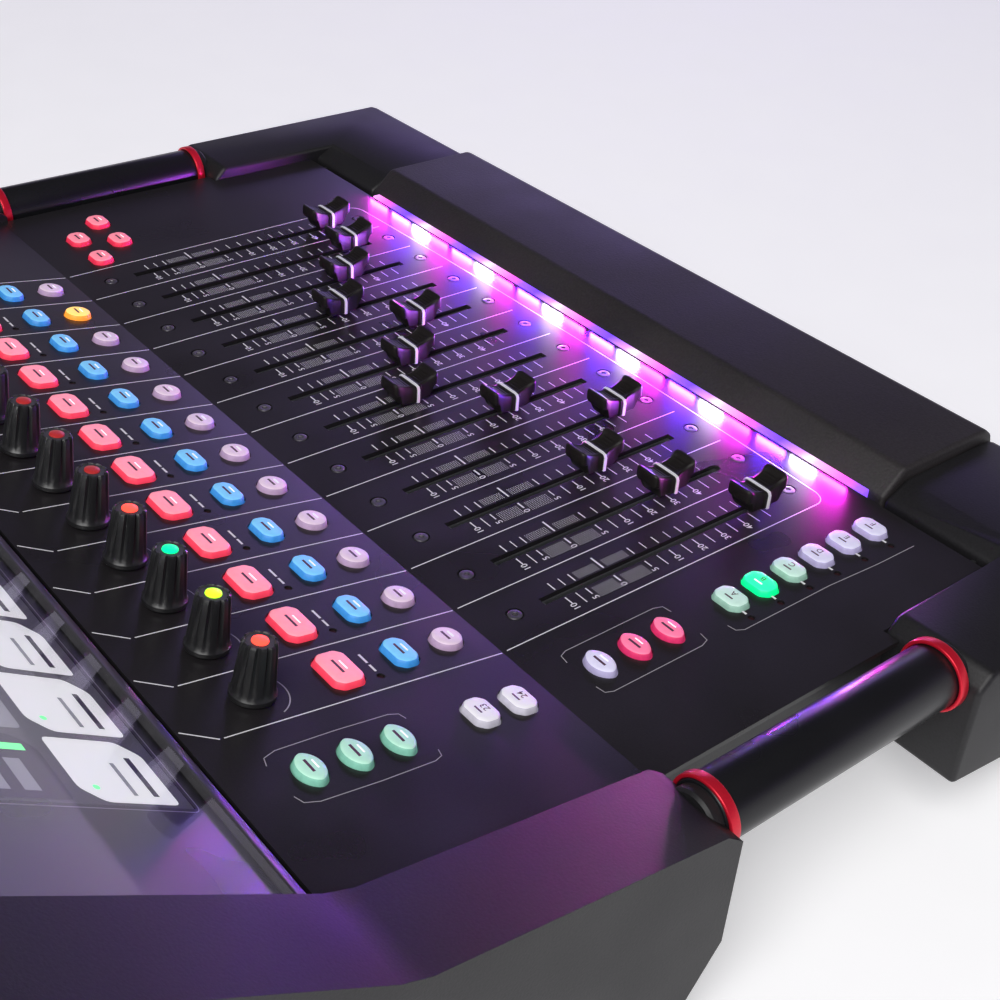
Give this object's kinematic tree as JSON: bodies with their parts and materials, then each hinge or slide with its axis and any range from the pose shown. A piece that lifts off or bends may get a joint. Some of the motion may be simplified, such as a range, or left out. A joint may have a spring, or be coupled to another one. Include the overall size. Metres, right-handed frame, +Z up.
{
  "type": "mixing console",
  "caption": "Compact live-sound mixing console: bent panel of motor faders, lit keys and knobs, tilted touch screen, light bar, armrest and side handles.",
  "frame": {"origin": "middle of the footprint, on the surface that the feet stand on", "axes": "+X to the operator's right, +Y away from the operator towards the connectors, +Z up"},
  "size_m": [0.547, 0.627, 0.2686],
  "materials": {
    "fader_caps": "matte moulded",
    "knobs": "satin moulded",
    "mute_keys": "translucent silicone, lit pink",
    "mix_keys": "translucent silicone, lit blue",
    "solo_keys": "translucent silicone, pale lilac",
    "layer_keys": "translucent silicone, pale mint, one lit green",
    "edit_keys": "translucent silicone, pink and white",
    "mode_keys": "translucent silicone, pale mint",
    "soft_keys": "translucent silicone, white",
    "bank_keys": "translucent silicone, lit pink",
    "switch": "satin",
    "fan": "satin",
    "chassis": "fine powder coat",
    "housing": "fine texture",
    "display_glass": "glossy",
    "display": "lit display, emissive",
    "panel": "fine satin texture",
    "armrest": "soft-touch grain",
    "light_bar": "diffuser, emissive",
    "led_strip": "white solder mask",
    "castings": "fine texture",
    "handle": "satin black",
    "rings": "anodised red",
    "feet": "matte",
    "mechanism": "plated steel",
    "boards": "solder mask",
    "sockets": "satin black",
    "ports": "plated",
    "inlet": "satin",
    "screws": "dark plated",
    "lamps": "smoked lens"
  },
  "bodies": {
    "root": {"base_tray": "chassis", "rear_panel": "chassis", "top_cover": "housing", "screen_frame": "housing", "display_glass": "display_glass", "lcd_module": "display", "control_panel": "panel", "armrest": "armrest", "light_bar": "light_bar", "led_strip": "led_strip", "rear_cheeks": "castings", "front_corners": "castings", "handle_tubes": "handle", "handle_rings": "rings", "feet": "feet", "motor_faders": "mechanism", "encoders": "mechanism", "key_board": "boards", "main_board": "boards", "power_supply": "mechanism", "fan_frame": "fan", "audio_sockets": "sockets", "data_ports": "ports", "mains_inlet": "inlet", "panel_screws": "screws", "state_lamps": "lamps"},
    "fader_1": {"fader_1": "fader_caps"},
    "fader_2": {"fader_2": "fader_caps"},
    "fader_3": {"fader_3": "fader_caps"},
    "fader_4": {"fader_4": "fader_caps"},
    "fader_5": {"fader_5": "fader_caps"},
    "fader_6": {"fader_6": "fader_caps"},
    "fader_7": {"fader_7": "fader_caps"},
    "fader_8": {"fader_8": "fader_caps"},
    "fader_9": {"fader_9": "fader_caps"},
    "fader_10": {"fader_10": "fader_caps"},
    "fader_11": {"fader_11": "fader_caps"},
    "fader_12": {"fader_12": "fader_caps"},
    "knob_1": {"knob_1": "knobs"},
    "knob_2": {"knob_2": "knobs"},
    "knob_3": {"knob_3": "knobs"},
    "knob_4": {"knob_4": "knobs"},
    "knob_5": {"knob_5": "knobs"},
    "knob_6": {"knob_6": "knobs"},
    "knob_7": {"knob_7": "knobs"},
    "knob_8": {"knob_8": "knobs"},
    "knob_9": {"knob_9": "knobs"},
    "knob_10": {"knob_10": "knobs"},
    "knob_11": {"knob_11": "knobs"},
    "knob_12": {"knob_12": "knobs"},
    "mute_keys": {"mute_keys": "mute_keys"},
    "mix_keys": {"mix_keys": "mix_keys"},
    "solo_keys": {"solo_keys": "solo_keys"},
    "layer_keys": {"layer_keys": "layer_keys"},
    "edit_keys": {"edit_keys": "edit_keys"},
    "mode_keys": {"mode_keys": "mode_keys"},
    "soft_keys": {"soft_keys": "soft_keys"},
    "bank_keys": {"bank_keys": "bank_keys"},
    "power_switch": {"power_switch": "switch"},
    "fan_rotor": {"fan_rotor": "fan"}
  },
  "joints": [
    {"name": "fader_1_slide", "type": "slide", "parent": "root", "child": "fader_1", "axis": [0, 0.9969, 0.0785], "range_m": [0, 0.1]},
    {"name": "fader_2_slide", "type": "slide", "parent": "root", "child": "fader_2", "axis": [0, 0.9969, 0.0785], "range_m": [-0.0227, 0.0773]},
    {"name": "fader_3_slide", "type": "slide", "parent": "root", "child": "fader_3", "axis": [0, 0.9969, 0.0785], "range_m": [-0.0357, 0.0643]},
    {"name": "fader_4_slide", "type": "slide", "parent": "root", "child": "fader_4", "axis": [0, 0.9969, 0.0785], "range_m": [0, 0.1]},
    {"name": "fader_5_slide", "type": "slide", "parent": "root", "child": "fader_5", "axis": [0, 0.9969, 0.0785], "range_m": [-0.0357, 0.0643]},
    {"name": "fader_6_slide", "type": "slide", "parent": "root", "child": "fader_6", "axis": [0, 0.9969, 0.0785], "range_m": [-0.0667, 0.0333]},
    {"name": "fader_7_slide", "type": "slide", "parent": "root", "child": "fader_7", "axis": [0, 0.9969, 0.0785], "range_m": [-0.0477, 0.0523]},
    {"name": "fader_8_slide", "type": "slide", "parent": "root", "child": "fader_8", "axis": [0, 0.9969, 0.0785], "range_m": [-0.0237, 0.0763]},
    {"name": "fader_9_slide", "type": "slide", "parent": "root", "child": "fader_9", "axis": [0, 0.9969, 0.0785], "range_m": [-0.0477, 0.0523]},
    {"name": "fader_10_slide", "type": "slide", "parent": "root", "child": "fader_10", "axis": [0, 0.9969, 0.0785], "range_m": [-0.0257, 0.0743]},
    {"name": "fader_11_slide", "type": "slide", "parent": "root", "child": "fader_11", "axis": [0, 0.9969, 0.0785], "range_m": [-0.0047, 0.0953]},
    {"name": "fader_12_slide", "type": "slide", "parent": "root", "child": "fader_12", "axis": [0, 0.9969, 0.0785], "range_m": [0, 0.1]},
    {"name": "knob_1_turn", "type": "hinge", "parent": "root", "child": "knob_1", "pos_m": [-0.1518, 0.03016, 0.10558], "axis": [0, -0.2477, 0.9688], "continuous": true},
    {"name": "knob_2_turn", "type": "hinge", "parent": "root", "child": "knob_2", "pos_m": [-0.1242, 0.03016, 0.10558], "axis": [0, -0.2477, 0.9688], "continuous": true},
    {"name": "knob_3_turn", "type": "hinge", "parent": "root", "child": "knob_3", "pos_m": [-0.0966, 0.03016, 0.10558], "axis": [0, -0.2477, 0.9688], "continuous": true},
    {"name": "knob_4_turn", "type": "hinge", "parent": "root", "child": "knob_4", "pos_m": [-0.069, 0.03016, 0.10558], "axis": [0, -0.2477, 0.9688], "continuous": true},
    {"name": "knob_5_turn", "type": "hinge", "parent": "root", "child": "knob_5", "pos_m": [-0.0414, 0.03016, 0.10558], "axis": [0, -0.2477, 0.9688], "continuous": true},
    {"name": "knob_6_turn", "type": "hinge", "parent": "root", "child": "knob_6", "pos_m": [-0.0138, 0.03016, 0.10558], "axis": [0, -0.2477, 0.9688], "continuous": true},
    {"name": "knob_7_turn", "type": "hinge", "parent": "root", "child": "knob_7", "pos_m": [0.0138, 0.03016, 0.10558], "axis": [0, -0.2477, 0.9688], "continuous": true},
    {"name": "knob_8_turn", "type": "hinge", "parent": "root", "child": "knob_8", "pos_m": [0.0414, 0.03016, 0.10558], "axis": [0, -0.2477, 0.9688], "continuous": true},
    {"name": "knob_9_turn", "type": "hinge", "parent": "root", "child": "knob_9", "pos_m": [0.069, 0.03016, 0.10558], "axis": [0, -0.2477, 0.9688], "continuous": true},
    {"name": "knob_10_turn", "type": "hinge", "parent": "root", "child": "knob_10", "pos_m": [0.0966, 0.03016, 0.10558], "axis": [0, -0.2477, 0.9688], "continuous": true},
    {"name": "knob_11_turn", "type": "hinge", "parent": "root", "child": "knob_11", "pos_m": [0.1242, 0.03016, 0.10558], "axis": [0, -0.2477, 0.9688], "continuous": true},
    {"name": "knob_12_turn", "type": "hinge", "parent": "root", "child": "knob_12", "pos_m": [0.1518, 0.03016, 0.10558], "axis": [0, -0.2477, 0.9688], "continuous": true},
    {"name": "mute_press", "type": "slide", "parent": "root", "child": "mute_keys", "axis": [0, 0.2477, -0.9688], "range_m": [0, 0.0012], "stiffness_N_per_m": 700, "springref_m": -0.0006},
    {"name": "mix_press", "type": "slide", "parent": "root", "child": "mix_keys", "axis": [0, 0.2477, -0.9688], "range_m": [0, 0.0012], "stiffness_N_per_m": 700, "springref_m": -0.0006},
    {"name": "solo_press", "type": "slide", "parent": "root", "child": "solo_keys", "axis": [0, 0.2477, -0.9688], "range_m": [0, 0.0012], "stiffness_N_per_m": 700, "springref_m": -0.0006},
    {"name": "layer_press", "type": "slide", "parent": "root", "child": "layer_keys", "axis": [0, 0.0785, -0.9969], "range_m": [0, 0.0012], "stiffness_N_per_m": 700, "springref_m": -0.0006},
    {"name": "edit_press", "type": "slide", "parent": "root", "child": "edit_keys", "axis": [0, 0.0785, -0.9969], "range_m": [0, 0.0012], "stiffness_N_per_m": 700, "springref_m": -0.0006},
    {"name": "mode_press", "type": "slide", "parent": "root", "child": "mode_keys", "axis": [0, 0.2477, -0.9688], "range_m": [0, 0.0012], "stiffness_N_per_m": 700, "springref_m": -0.0006},
    {"name": "soft_press", "type": "slide", "parent": "root", "child": "soft_keys", "axis": [0, 0.2477, -0.9688], "range_m": [0, 0.0012], "stiffness_N_per_m": 700, "springref_m": -0.0006},
    {"name": "bank_press", "type": "slide", "parent": "root", "child": "bank_keys", "axis": [0, 0.0785, -0.9969], "range_m": [0, 0.0012], "stiffness_N_per_m": 700, "springref_m": -0.0006},
    {"name": "power_rocker", "type": "hinge", "parent": "root", "child": "power_switch", "pos_m": [0.166, 0.301, 0.069], "axis": [1, 0, 0], "range_deg": [-16, 0]},
    {"name": "fan_spin", "type": "hinge", "parent": "root", "child": "fan_rotor", "pos_m": [0.152, 0.293, 0.118], "axis": [0, 1, 0], "continuous": true}
  ]
}
